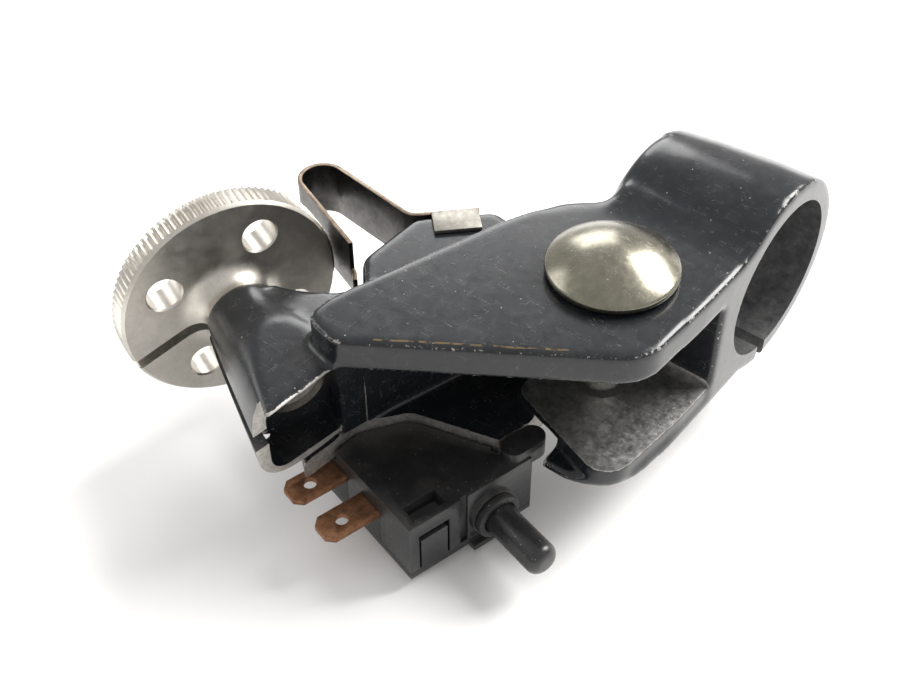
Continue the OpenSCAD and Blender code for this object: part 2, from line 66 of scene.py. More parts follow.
def adjusterMatrix(along=0.0):
    turned = Matrix.Rotation(adjuster["angle"], 4, "Z") @ Matrix.Rotation(pi / 2, 4, "Y")
    start = Vector((adjuster["x"], adjuster["y"], adjuster["z"]))
    return Matrix.Translation(start) @ turned @ Matrix.Translation((0, 0, along))


def switchMatrix():
    place = Vector((switchPlace["x"], switchPlace["y"], 0))
    return Matrix.Translation(place) @ Matrix.Rotation(switchPlace["turn"], 4, "Z")


# mesh helpers

def addObject(name, verts, faces, matrix=None):
    mesh = bpy.data.meshes.new(name)
    points = [Vector(v) for v in verts]
    if matrix is not None:
        points = [matrix @ p for p in points]
    mesh.from_pydata([p * mm for p in points], [], faces)
    mesh.update()
    made = bpy.data.objects.new(name, mesh)
    scene.collection.objects.link(made)
    cleanUp(made)
    return made


def cleanUp(obj):
    work = bmesh.new()
    work.from_mesh(obj.data)
    bmesh.ops.remove_doubles(work, verts=work.verts, dist=1e-7)
    bmesh.ops.recalc_face_normals(work, faces=work.faces)
    work.to_mesh(obj.data)
    work.free()


def roundedOutline(points, steps=8):
    outline = []
    for i, (x, y, r) in enumerate(points):
        here = Vector((x, y))
        if r <= 0:
            outline.append(here)
            continue
        before = Vector(points[i - 1][:2]) - here
        after = Vector(points[(i + 1) % len(points)][:2]) - here
        before.normalize()
        after.normalize()
        half = acos(max(-1, min(1, before.dot(after)))) / 2
        centre = here + (before + after).normalized() * r / sin(half)
        start = here + before * r / tan(half) - centre
        end = here + after * r / tan(half) - centre
        a0 = atan2(start.y, start.x)
        turn = (atan2(end.y, end.x) - a0 + 3 * pi) % (2 * pi) - pi
        for k in range(steps + 1):
            a = a0 + turn * k / steps
            outline.append(centre + Vector((cos(a), sin(a))) * r)
    return outline


def prism(name, outline, low, high, matrix=None):
    n = len(outline)
    verts = [(p[0], p[1], low) for p in outline] + [(p[0], p[1], high) for p in outline]
    faces = [list(range(n))[::-1], list(range(n, 2 * n))]
    faces += [(i, (i + 1) % n, n + (i + 1) % n, n + i) for i in range(n)]
    return addObject(name, verts, faces, matrix)


def lathe(name, profile, steps=96, matrix=None):
    # profile runs from axis to axis as (radius, height)
    verts, faces, rings = [], [], []
    for r, h in profile:
        if r < 1e-6:
            rings.append([len(verts)])
            verts.append((0, 0, h))
        else:
            rings.append(list(range(len(verts), len(verts) + steps)))
            verts += [(r * cos(2 * pi * k / steps), r * sin(2 * pi * k / steps), h) for k in range(steps)]
    for a, b in zip(rings, rings[1:]):
        for k in range(steps):
            m = (k + 1) % steps
            if len(a) == 1:
                faces.append((a[0], b[k], b[m]))
            elif len(b) == 1:
                faces.append((a[k], a[m], b[0]))
            else:
                faces.append((a[k], a[m], b[m], b[k]))
    return addObject(name, verts, faces, matrix)


def block(name, low, high, matrix=None):
    outline = [(low[0], low[1]), (high[0], low[1]), (high[0], high[1]), (low[0], high[1])]
    return prism(name, outline, low[2], high[2], matrix)


def joinAll(name, parts):
    work = bmesh.new()
    for part in parts:
        work.from_mesh(part.data)
    mesh = bpy.data.meshes.new(name)
    work.to_mesh(mesh)
    work.free()
    for part in parts:
        bpy.data.objects.remove(part)
    made = bpy.data.objects.new(name, mesh)
    scene.collection.objects.link(made)
    return made


def applyModifiers(obj):
    seen = obj.evaluated_get(bpy.context.evaluated_depsgraph_get())
    mesh = bpy.data.meshes.new_from_object(seen)
    old = obj.data
    obj.modifiers.clear()
    obj.data = mesh
    if old.users == 0:
        bpy.data.meshes.remove(old)


def carve(obj, cutter, material=None, operation="DIFFERENCE"):
    if material:
        cutter.data.materials.append(material)
    cut = obj.modifiers.new("carve", "BOOLEAN")
    cut.solver = "MANIFOLD"
    cut.operation = operation
    cut.material_mode = "TRANSFER"
    cut.object = cutter
    applyModifiers(obj)
    bpy.data.objects.remove(cutter)


def castSkin(obj, voxel, smoothing):
    remesh = obj.modifiers.new("skin", "REMESH")
    remesh.mode = "VOXEL"
    remesh.voxel_size = voxel * mm
    soften = obj.modifiers.new("soften", "SMOOTH")
    soften.factor = 0.5
    soften.iterations = smoothing
    applyModifiers(obj)


def shade(obj, sharpAngle=35):
    for face in obj.data.polygons:
        face.use_smooth = True
    obj.data.set_sharp_from_angle(angle=radians(sharpAngle))


def markEdges(obj, passes=2):
    # stores how strongly each vertex bulges, in 1/mm, for the edge wear
    mesh = obj.data
    count = len(mesh.vertices)
    place = np.zeros(count * 3)
    mesh.vertices.foreach_get("co", place)
    place = place.reshape(-1, 3) / mm
    normal = np.zeros(count * 3)
    mesh.vertices.foreach_get("normal", normal)
    normal = normal.reshape(-1, 3)
    ends = np.zeros(len(mesh.edges) * 2, dtype=np.int64)
    mesh.edges.foreach_get("vertices", ends)
    a, b = ends.reshape(-1, 2).T
    step = place[b] - place[a]
    size = (step ** 2).sum(1)
    size = np.maximum(size, 0.02)
    bulge = np.zeros(count)
    share = np.zeros(count)
    np.add.at(bulge, a, -2 * (step * normal[a]).sum(1) / size)
    np.add.at(bulge, b, 2 * (step * normal[b]).sum(1) / size)
    np.add.at(share, a, 1)
    np.add.at(share, b, 1)
    share = np.maximum(share, 1)
    bulge = np.clip(bulge / share, -3, 3)
    for _ in range(passes):
        total = bulge.copy()
        np.add.at(total, a, bulge[b])
        np.add.at(total, b, bulge[a])
        bulge = total / (share + 1)
    layer = mesh.attributes.new("edge", "FLOAT", "POINT")
    layer.data.foreach_set("value", bulge.astype(np.float32))
    return place, normal


def softCopy(node, width):
    # a bevelled copy of a frame node, which stands for it
    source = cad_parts[node]
    made = bpy.data.objects.new(node + "Skin", source.data.copy())
    made.data.materials.clear()
    scene.collection.objects.link(made)
    work = bmesh.new()
    work.from_mesh(made.data)
    bmesh.ops.remove_doubles(work, verts=work.verts, dist=2e-6)
    bmesh.ops.dissolve_limit(work, angle_limit=radians(0.5), verts=work.verts, edges=work.edges)
    bmesh.ops.recalc_face_normals(work, faces=work.faces)
    work.to_mesh(made.data)
    work.free()
    bevel = made.modifiers.new("bevel", "BEVEL")
    bevel.width = width * mm
    bevel.segments = 2
    bevel.limit_method = "ANGLE"
    bevel.angle_limit = radians(35)
    bevel.use_clamp_overlap = True
    bevel.harden_normals = False
    applyModifiers(made)
    shade(made, 40)
    return made


# shader helpers

def addNode(tree, kind, inputs=None, **settings):
    made = tree.nodes.new("ShaderNode" + kind)
    for name, value in settings.items():
        setattr(made, name, value)
    for name, value in (inputs or {}).items():
        if isinstance(value, bpy.types.NodeSocket):
            tree.links.new(value, made.inputs[name])
        else:
            made.inputs[name].default_value = value
    return made


def calc(tree, operation, a, b=0.0, clamp=False):
    made = addNode(tree, "Math", {0: a, 1: b}, operation=operation)
    made.use_clamp = clamp
    return made.outputs[0]


def ramp(tree, value, low, high, toLow=0.0, toHigh=1.0):
    made = addNode(tree, "MapRange", {"Value": value, "From Min": low, "From Max": high,
                                      "To Min": toLow, "To Max": toHigh})
    made.interpolation_type = "SMOOTHSTEP"
    return made.outputs[0]


def blendColour(tree, mask, a, b):
    made = tree.nodes.new("ShaderNodeMix")
    made.data_type = "RGBA"
    for socket, value in ((made.inputs[0], mask), (made.inputs[6], a), (made.inputs[7], b)):
        if isinstance(value, bpy.types.NodeSocket):
            tree.links.new(value, socket)
        else:
            socket.default_value = value
    return made.outputs[2]


def blendValue(tree, mask, a, b):
    made = addNode(tree, "Mix", {0: mask, 2: a, 3: b})
    return made.outputs[0]


def newGroup(name, inputs, outputs):
    group = bpy.data.node_groups.new(name, "ShaderNodeTree")
    for label, value in inputs.items():
        socket = group.interface.new_socket(label, in_out="INPUT", socket_type="NodeSocketFloat")
        socket.default_value = value
    for label in outputs:
        group.interface.new_socket(label, in_out="OUTPUT", socket_type="NodeSocketFloat")
    return group, group.nodes.new("NodeGroupInput"), group.nodes.new("NodeGroupOutput")


def millimetres(tree, stretch=(1, 1, 1), turn=(0, 0, 0)):
    place = addNode(tree, "TexCoord").outputs["Object"]
    scale = [1000 * s for s in stretch]
    return addNode(tree, "Mapping", {"Vector": place, "Scale": scale, "Rotation": turn}).outputs[0]


def buildEdgeWear():
    group, given, out = newGroup("edgeWear", {"Edge": 0.0, "Start": 0.3, "Scale": 2.0, "Rough": 0.4},
                                 ["Mask"])
    place = millimetres(group)
    grain = addNode(group, "TexNoise", {"Vector": place, "Scale": given.outputs["Scale"], "Detail": 6.0,
                                        "Roughness": 0.7}).outputs[0]
    broken = calc(group, "MULTIPLY", calc(group, "SUBTRACT", grain, 0.5), given.outputs["Rough"])
    height = calc(group, "ADD", given.outputs["Edge"], calc(group, "MULTIPLY", broken, 4.0))
    over = calc(group, "SUBTRACT", height, given.outputs["Start"])
    group.links.new(ramp(group, over, 0.0, 0.12), out.inputs["Mask"])
    return group


def buildDustSpecks():
    group, given, out = newGroup("dustSpecks", {"Scale": 1.2, "Share": 0.2, "Size": 0.12, "Film": 0.2},
                                 ["Specks", "Film"])
    place = millimetres(group)
    cells = addNode(group, "TexVoronoi", {"Vector": place, "Scale": given.outputs["Scale"]})
    pick = addNode(group, "SeparateColor", {"Color": cells.outputs["Color"]}).outputs
    near = calc(group, "LESS_THAN", cells.outputs["Distance"],
                calc(group, "MULTIPLY", given.outputs["Size"], pick[1]))
    chosen = calc(group, "LESS_THAN", pick[0], given.outputs["Share"])
    facing = addNode(group, "SeparateXYZ", {"Vector": addNode(group,
                                                              "NewGeometry").outputs["Normal"]}).outputs[2]
    upward = ramp(group, facing, -0.2, 0.8)
    specks = calc(group, "MULTIPLY", calc(group, "MULTIPLY", near, chosen), upward)
    group.links.new(specks, out.inputs["Specks"])
    cloud = addNode(group, "TexNoise", {"Vector": place, "Scale": 0.25, "Detail": 8.0,
                                        "Roughness": 0.65}).outputs[0]
    film = calc(group, "MULTIPLY", ramp(group, cloud, 0.4, 0.75), upward)
    group.links.new(calc(group, "MULTIPLY", film, given.outputs["Film"]), out.inputs["Film"])
    return group


def buildScratches():
    group, given, out = newGroup("fineScratches", {"Scale": 1.0, "Width": 0.02, "Share": 0.5}, ["Mask"])
    total = None
    for turn, stretch in (((0.2, 0.4, 0.6), (0.15, 3, 1)), ((1.1, 0.2, 2.1), (0.2, 2, 2)),
                          ((0.4, 1.3, 1.2), (2.5, 0.2, 1.5))):
        place = millimetres(group, stretch, turn)
        wave = addNode(group, "TexNoise", {"Vector": place, "Scale": given.outputs["Scale"],
                                           "Detail": 2.0,
                                           "Distortion": 0.2}).outputs[0]
        off = calc(group, "ABSOLUTE", calc(group, "SUBTRACT", wave, 0.5))
        line = calc(group, "LESS_THAN", off, given.outputs["Width"])
        total = line if total is None else calc(group, "MAXIMUM", total, line)
    patch = addNode(group, "TexNoise", {"Vector": millimetres(group), "Scale": 0.6,
                                        "Detail": 4.0}).outputs[0]
    kept = calc(group, "LESS_THAN", patch, given.outputs["Share"])
    group.links.new(calc(group, "MULTIPLY", total, kept), out.inputs["Mask"])
    return group


def buildMottle():
    group, given, out = newGroup("mottle", {"Scale": 0.5, "Low": 0.2, "High": 0.5, "Detail": 8.0},
                                 ["Value"])
    cloud = addNode(group, "TexNoise", {"Vector": millimetres(group), "Scale": given.outputs["Scale"],
                                        "Detail": given.outputs["Detail"], "Roughness": 0.65}).outputs[0]
    made = addNode(group, "MapRange", {"Value": cloud, "From Min": 0.3, "From Max": 0.7,
                                       "To Min": given.outputs["Low"], "To Max": given.outputs["High"]})
    group.links.new(made.outputs[0], out.inputs["Value"])
    return group


def buildCastGrain():
    group, given, out = newGroup("castGrain", {"Fine": 3.0, "Broad": 0.5, "Mix": 0.5}, ["Height"])
    place = millimetres(group)
    fine = addNode(group, "TexNoise", {"Vector": place, "Scale": given.outputs["Fine"],
                                       "Detail": 5.0}).outputs[0]
    broad = addNode(group, "TexNoise", {"Vector": place, "Scale": given.outputs["Broad"],
                                        "Detail": 3.0}).outputs[0]
    group.links.new(blendValue(group, given.outputs["Mix"], fine, broad), out.inputs["Height"])
    return group


def buildCreaseHighlight():
    # painted highlight: a thin broken gold line that follows the front edge of the upper plate
    group, given, out = newGroup("creaseHighlightLine", {"Offset": 31.7, "Width": 0.16}, ["Mask"])
    place = millimetres(group)
    parts = addNode(group, "SeparateXYZ", {"Vector": place}).outputs
    across = calc(group, "ADD", calc(group, "MULTIPLY", parts[0], 0.557),
                  calc(group, "MULTIPLY", parts[1], -0.830))
    wander = addNode(group, "TexNoise", {"Vector": place, "Scale": 0.35, "Detail": 4.0}).outputs[0]
    off = calc(group, "ABSOLUTE", calc(group, "SUBTRACT",
                                       calc(group, "ADD", across, calc(group, "MULTIPLY", wander, 0.5)),
                                       calc(group, "ADD", given.outputs["Offset"], 0.25)))
    line = calc(group, "LESS_THAN", off, given.outputs["Width"])
    broken = addNode(group, "TexNoise", {"Vector": place, "Scale": 0.9, "Detail": 6.0}).outputs[0]
    kept = calc(group, "MULTIPLY", ramp(group, broken, 0.42, 0.55),
                calc(group, "GREATER_THAN", parts[2], 8.8))
    span = calc(group, "MULTIPLY", calc(group, "GREATER_THAN", parts[0], -16.0),
                calc(group, "LESS_THAN", parts[0], 3.5))
    group.links.new(calc(group, "MULTIPLY", line, calc(group, "MULTIPLY", kept, span)),
                    out.inputs["Mask"])
    return group


groups = {"creaseGlint": buildCreaseHighlight(), "wear": buildEdgeWear(), "dust": buildDustSpecks(),
          "scratch": buildScratches(),
          "mottle": buildMottle(), "grain": buildCastGrain()}


def useGroup(tree, kind, **values):
    made = tree.nodes.new("ShaderNodeGroup")
    made.node_tree = groups[kind]
    for name, value in values.items():
        if isinstance(value, bpy.types.NodeSocket):
            tree.links.new(value, made.inputs[name])
        else:
            made.inputs[name].default_value = value
    return made.outputs


def newMaterial(name):
    made = bpy.data.materials.new(name)
    made.use_nodes = True
    tree = made.node_tree
    shader = tree.nodes["Principled BSDF"]
    return made, tree, shader


def attribute(tree, name):
    return addNode(tree, "Attribute", attribute_name=name).outputs["Fac"]


def setBump(tree, shader, height, strength, distance=0.05):
    made = addNode(tree, "Bump", {"Height": height, "Strength": strength, "Distance": distance * mm})
    tree.links.new(made.outputs[0], shader.inputs["Normal"])


def colour(r, g, b):
    return (r, g, b, 1.0)


# the gold colour here is for the painted highlight line along the upper plate's front edge
paintLook = {"paint": colour(0.0085, 0.0098, 0.0122), "worn": colour(0.42, 0.40, 0.375),
             "dust": colour(0.42, 0.40, 0.37),
             "rough": (0.17, 0.27), "wearStart": 0.86, "goldHighlight": colour(0.42, 0.27, 0.10)}


def buildPaint(name, look):
    made, tree, shader = newMaterial(name)
    edge = attribute(tree, "edge")
    bare = attribute(tree, "bare")
    wear = useGroup(tree, "wear", Edge=edge, Start=look["wearStart"], Scale=1.6, Rough=0.5)["Mask"]
    chips = useGroup(tree, "wear", Edge=bare, Start=0.5, Scale=1.6, Rough=0.16)["Mask"]
    metal = calc(tree, "MAXIMUM", wear, chips)
    dust = useGroup(tree, "dust", Scale=1.15, Share=0.2, Size=0.13, Film=0.02)
    scratch = useGroup(tree, "scratch", Scale=0.55, Width=0.0022, Share=0.47)["Mask"]
    tone = useGroup(tree, "mottle", Scale=0.35, Low=0.0, High=1.0, Detail=8.0)["Value"]
    metalTone = useGroup(tree, "mottle", Scale=2.2, Low=0.25, High=1.0, Detail=10.0)["Value"]
    darker = tuple(0.85 * c for c in look["paint"][:3]) + (1,)
    lighter = tuple(1.2 * c for c in look["paint"][:3]) + (1,)
    paint = blendColour(tree, tone, darker, lighter)
    paint = blendColour(tree, calc(tree, "MULTIPLY", scratch, 0.16), paint, look["dust"])
    paint = blendColour(tree, dust["Film"], paint, look["dust"])
    paint = blendColour(tree, calc(tree, "MULTIPLY", dust["Specks"], 0.5), paint, look["dust"])
    alloy = blendColour(tree, metalTone, colour(0.16, 0.155, 0.15), look["worn"])
    # painted highlight: a broken gold line along the upper plate's front edge
    creaseGlint = useGroup(tree, "creaseGlint", Width=0.14)["Mask"]
    paint = blendColour(tree, calc(tree, "MULTIPLY", creaseGlint, 0.22), paint, look["goldHighlight"])
    tree.links.new(blendColour(tree, metal, paint, alloy), shader.inputs["Base Color"])
    gloss = useGroup(tree, "mottle", Scale=0.7, Low=look["rough"][0], High=look["rough"][1],
                     Detail=10.0)["Value"]
    gloss = calc(tree, "ADD", gloss, calc(tree, "MULTIPLY", dust["Specks"], 0.3))
    tree.links.new(blendValue(tree, metal, gloss, 0.5), shader.inputs["Roughness"])
    tree.links.new(calc(tree, "MULTIPLY", metal, 0.85), shader.inputs["Metallic"])
    shader.inputs["Specular IOR Level"].default_value = 0.45
    grain = useGroup(tree, "grain", Fine=4.5, Broad=0.8, Mix=0.55)["Height"]
    height = calc(tree, "SUBTRACT", grain, calc(tree, "MULTIPLY", metal, 0.8))
    setBump(tree, shader, height, 0.28, 0.05)
    return made


def buildMetal(name, dark, light, rough, metallic=1.0, scale=1.0, grime=0.0, bump=0.25):
    made, tree, shader = newMaterial(name)
    tone = useGroup(tree, "mottle", Scale=0.45 * scale, Low=0.0, High=1.0, Detail=10.0)["Value"]
    base = blendColour(tree, tone, dark, light)
    dust = useGroup(tree, "dust", Scale=1.3, Share=0.3, Size=0.13, Film=0.12)
    scratch = useGroup(tree, "scratch", Scale=0.8, Width=0.004, Share=0.5)["Mask"]
    base = blendColour(tree, calc(tree, "MULTIPLY", scratch, 0.25), base,
                       tuple(min(1, 1.35 * c) for c in light[:3]) + (1,))
    base = blendColour(tree, calc(tree, "MULTIPLY", dust["Specks"], 0.5), base, colour(0.75, 0.72, 0.66))
    stain = useGroup(tree, "mottle", Scale=1.4, Low=-0.6, High=1.0, Detail=12.0)["Value"]
    stain = calc(tree, "MULTIPLY", calc(tree, "MAXIMUM", stain, 0.0), grime)
    base = blendColour(tree, stain, base, tuple(0.25 * c for c in dark[:3]) + (1,))
    tree.links.new(base, shader.inputs["Base Color"])
    gloss = useGroup(tree, "mottle", Scale=1.1 * scale, Low=rough[0], High=rough[1], Detail=10.0)["Value"]
    gloss = calc(tree, "ADD", gloss, calc(tree, "MULTIPLY", scratch, 0.12))
    tree.links.new(gloss, shader.inputs["Roughness"])
    shader.inputs["Metallic"].default_value = metallic
    grain = useGroup(tree, "grain", Fine=7.0, Broad=1.2, Mix=0.4)["Height"]
    setBump(tree, shader, grain, bump, 0.03)
    return made


def buildPlastic(name, base, rough, dustAmount, dustColour=colour(0.20, 0.17, 0.14), bump=0.3):
    made, tree, shader = newMaterial(name)
    tone = useGroup(tree, "mottle", Scale=0.6, Low=0.0, High=1.0, Detail=8.0)["Value"]
    skin = blendColour(tree, tone, tuple(0.75 * c for c in base[:3]) + (1,),
                       tuple(1.4 * c for c in base[:3]) + (1,))
    dust = useGroup(tree, "dust", Scale=1.8, Share=0.4, Size=0.16, Film=dustAmount)
    scratch = useGroup(tree, "scratch", Scale=0.9, Width=0.003, Share=0.48)["Mask"]
    skin = blendColour(tree, calc(tree, "MULTIPLY", scratch, 0.12), skin, colour(0.3, 0.29, 0.27))
    skin = blendColour(tree, dust["Film"], skin, dustColour)
    skin = blendColour(tree, calc(tree, "MULTIPLY", dust["Specks"], 0.45), skin, colour(0.4, 0.36, 0.3))
    tree.links.new(skin, shader.inputs["Base Color"])
    gloss = useGroup(tree, "mottle", Scale=1.2, Low=rough[0], High=rough[1], Detail=10.0)["Value"]
    tree.links.new(calc(tree, "ADD", gloss, dust["Film"]), shader.inputs["Roughness"])
    shader.inputs["Specular IOR Level"].default_value = 0.5
    grain = useGroup(tree, "grain", Fine=6.0, Broad=1.0, Mix=0.35)["Height"]
    setBump(tree, shader, grain, bump, 0.03)
    return made


blackPaint = buildPaint("blackPaint", paintLook)
machined = buildMetal("machinedAlloy", colour(0.27, 0.27, 0.265), colour(0.60, 0.59, 0.57),
                      (0.26, 0.48), 0.9, 1.8, grime=0.4, bump=0.7)
lipMetal = buildMetal("lipAlloy", colour(0.38, 0.37, 0.35), colour(0.66, 0.64, 0.60), (0.38, 0.55),
                      0.85, 2.2, grime=0.35, bump=0.5)
threadMetal = buildMetal("threadAlloy", colour(0.16, 0.155, 0.15), colour(0.42, 0.41, 0.39),
                         (0.25, 0.4), 1.0, 1.5, grime=0.3, bump=0.2)
boreMetal = buildMetal("boreSkin", colour(0.04, 0.041, 0.043), colour(0.13, 0.13, 0.13), (0.3, 0.48),
                       0.4, 1.2, grime=0.35, bump=0.4)
nickel = buildMetal("nickelPlate", colour(0.50, 0.47, 0.42), colour(0.64, 0.61, 0.56), (0.30, 0.42),
                    1.0, 0.5, grime=0.12, bump=0.06)
domeNickel = buildMetal("domeNickel", colour(0.20, 0.19, 0.15), colour(0.28, 0.265, 0.215), (0.2, 0.3),
                        1.0, 0.8, grime=0.15, bump=0.06)
shaftSteel = buildMetal("shaftSteel", colour(0.3, 0.29, 0.27), colour(0.55, 0.53, 0.50), (0.22, 0.36),
                        1.0, 1.5, grime=0.25)
zincSteel = buildMetal("zincSteel", colour(0.3, 0.29, 0.27), colour(0.5, 0.49, 0.46), (0.3, 0.5), 1.0,
                       1.5, grime=0.3)
# one spring steel in two copies: the strip's darker one is painted shade of its upright faces, the tab's
# lighter one is painted light on its upward face
shadedSpringSteel = buildMetal("shadedSpringSteel", colour(0.045, 0.043, 0.042), colour(0.13, 0.125, 0.12),
                         (0.25, 0.42), 1.0, 0.7, grime=0.35)
litSpringSteel = buildMetal("litSpringSteel", colour(0.22, 0.205, 0.18), colour(0.40, 0.38, 0.34), (0.35, 0.55),
                      0.9, 1.2, grime=0.25)
# coppery colour of the spring's narrow faces; on the tab it also stands for painted edge highlights
copperEdge = buildMetal("copperEdge", colour(0.13, 0.10, 0.075), colour(0.30, 0.235, 0.18), (0.35, 0.5),
                        1.0, 2.0, grime=0.3)
copper = buildMetal("copperBlade", colour(0.20, 0.095, 0.05), colour(0.36, 0.18, 0.095), (0.42, 0.6),
                    0.8, 1.6, grime=0.6, bump=0.4)
silver = buildMetal("contactSilver", colour(0.5, 0.5, 0.48), colour(0.75, 0.74, 0.72), (0.2, 0.35), 1.0)
switchPlastic = buildPlastic("switchPlastic", colour(0.012, 0.0125, 0.0135), (0.30, 0.44), 0.1)
plungerPlastic = buildPlastic("plungerPlastic", colour(0.0125, 0.013, 0.014), (0.22, 0.36), 0.06)
sealRubber = buildPlastic("sealRubber", colour(0.008, 0.008, 0.008), (0.5, 0.65), 0.02)
# darker metal for the walls of the wheel's cable slot: painted shade in the narrow slot
slotShade = buildMetal("slotShade", colour(0.14, 0.13, 0.11), colour(0.30, 0.28, 0.24), (0.45, 0.6),
                       0.8, 2.0, grime=0.3)
# near-black for the washer's grime and for the painted shadow ring at the pivot shaft's foot
gritAndShade = buildPlastic("washerGrimeAndShade", colour(0.02, 0.019, 0.017), (0.6, 0.8), 0.3)
print("materials ready")


# cast perch
perch = {"voxel": 0.33, "smoothing": 22, "sweep": 12.0}


def rawCasting():
    r, half = bore["radius"] + bore["wall"], bore["half"]
    top, slotTop = levels["plateTop"], levels["slotTop"]
    alongBar = Matrix.Rotation(pi / 2, 4, "Y")
    parts = [lathe("ring", [(0, -half), (r - 1.9, -half), (r - 1.0, -half + 1.0),
                            (r - 0.45, -half * 0.35),
                            (r, half * 0.45), (r, half), (0, half)], 96, alongBar)]
    # sweep from the plate up to the ring
    sweep = perch["sweep"]
    centreZ = top + sweep
    centreY = -sqrt((r + sweep) ** 2 - centreZ ** 2)
    endAngle = atan2(centreZ, -centreY)
    arc = [(centreY + sweep * cos(a), centreZ + sweep * sin(a))
           for a in (-pi / 2 + (pi / 2 - endAngle - 0.1) * k / 14 for k in range(15))]
    outline = [(centreY - 3, top - 1)] + arc + [(-r * 0.3, r * 0.8), (-r * 0.6, 0)]
    upright = Matrix(((0, 0, 1, 0), (1, 0, 0, 0), (0, 1, 0, 0), (0, 0, 0, 1)))
    parts.append(prism("saddle", outline, -half + 1.3, half, upright))
    parts.append(prism("upper", roundedOutline([
        (half, -5, 0), (half, -20, 0), (10.2, -32.4, 6.5), (-19.3, -52.2, 2.5), (-25.4, -50.9, 2.5),
        (-24.6, -45.5, 3), (-17.6, -22.5, 8), (-14.2, -14.6, 4), (-9.6, -10.5, 3), (-9.6, -5,
                                                                                    0)]), slotTop, top))
    parts.append(prism("web", roundedOutline([
        (half, -6, 0), (half, -15.2, 0), (-9, -15.2, 5), (-15.2, -27, 8), (-19.8, -43, 4), (-21.2, -50,
                                                                                            0),
        (-24.6, -49.6, 0), (-24.1, -45.2, 3), (-17.2, -22.5, 8), (-13.8, -14.6, 4), (-9.2, -10.2,
                                                                                     3), (-9.2, -6, 0)]),
        levels["floorLow"] + 0.6, slotTop + 1))
    # the floor runs past its front edge, which is cut back after the skin is made
    parts.append(prism("floor", roundedOutline([
        (-3, -16, 0), (-3, -33, 0), (-3.2, -40.5, 0), (-16.5, -44, 3), (-20, -48.5, 3), (-20, -58,
                                                                                         0), (-25.3,
                                                                                              -54, 1.5),
        (-24.9, -45.5, 3), (-17.9, -22.5, 8), (-14.5, -14.2, 3)]), levels["floorLow"], levels["floor"]))
    parts.append(prism("flange", roundedOutline([
        (half, -5, 0), (half, -24, 0), (9.6, -36.8, 8.2), (-1.6, -36.8, 2), (-2.6, -33, 0), (-9.6, -27,
                                                                                             0),
        (-9.6, -5, 0)]), levels["flangeLow"], levels["flangeTop"]))
    parts.append(prism("pad", roundedOutline([
        (half - 0.3, -7, 0), (half - 0.3, -22, 0), (9.3, -36.1, 3.4), (5.4, -35.6, 0.6), (-3.3, -32.6, 6),
        (-8.5, -30.8, 2), (-9.3, -7, 0)]), levels["flangeTop"] - 0.7, levels["pad"] + 0.7))
    # housing of the adjuster, cut back later at its mouth
    barrel = buildBarrel()
    keep = prism("keep", [(-50, -20), (-50, -72), (-20.4, -72), (-19, -38), (-15, -20)], -10.6, slotTop
                 + 0.3)
    carve(barrel, keep, operation="INTERSECT")
    parts.append(barrel)
    web = roundedOutline([(-37.6, -48.5, 0), (-36.9, -45.0, 1.5), (-32.8, -43.9, 5), (-28.6, -41.7, 3),
                          (-26.2, -37, 0), (-21.5, -40, 0), (-23.0, -52, 0), (-30, -52, 0)])
    n = len(web)
    verts = [(p.x, p.y, -0.3) for p in web] + [(p.x, p.y, 4.2 + (p.x + 38) * 0.1) for p in web]
    faces = [list(range(n))[::-1], list(range(n, 2 * n))]
    faces += [(i, (i + 1) % n, n + (i + 1) % n, n + i) for i in range(n)]
    parts.append(addObject("housingWeb", verts, faces))
    parts.append(prism("lug", roundedOutline([
        (-13, -22, 0), (-20.4, -16.6, 1.2), (-23.6, -16.4, 1.5), (-31, -24.1, 1.2), (-31, -34.5, 3.5),
        (-26.5, -39.4, 2), (-20, -36, 0)]), -6.9, 4.6))
    parts.append(block("clampLug", (-9, -7.3, -21.9), (1, 5.1, -11.1)))
    return joinAll("perchCasting", parts)


def buildBarrel():
    # its section goes from round at the neck to a rounded box at the mouth
    sections = []
    for along, reach, squareness in ((3.0, 4.7, 2.0), (3.4, 5.2, 2.0), (8.0, 5.95, 2.2),
                                     (14.0, 6.75, 2.6),
                                     (20.0, 7.5, 3.0), (28.0, 8.5, 3.2)):
        ring = []
        for k in range(72):
            a = 2 * pi * k / 72
            c, d = cos(a), sin(a)
            swell = (abs(c) ** squareness + abs(d) ** squareness) ** (-1 / squareness)
            ring.append((reach * swell * c, reach * swell * d, along))
        sections.append(ring)
    verts = [v for ring in sections for v in ring]
    n = 72
    faces = [list(range(n))[::-1], list(range(len(verts) - n, len(verts)))]
    for i in range(len(sections) - 1):
        faces += [(i * n + k, i * n + (k + 1) % n, (i + 1) * n + (k + 1) % n, (i + 1) * n + k)
                  for k in range(n)]
    return addObject("barrel", verts, faces, adjusterMatrix())


def threadCutter():
    profile = [(0, 2.5), (4.08, 2.5)]
    s = 3.0
    while s < 16.6:
        profile += [(4.08, s), (4.5, s + 0.5)]
        s += 1.0
    profile += [(4.3, 18.3), (0, 18.3)]
    return lathe("thread", profile, 96, adjusterMatrix())


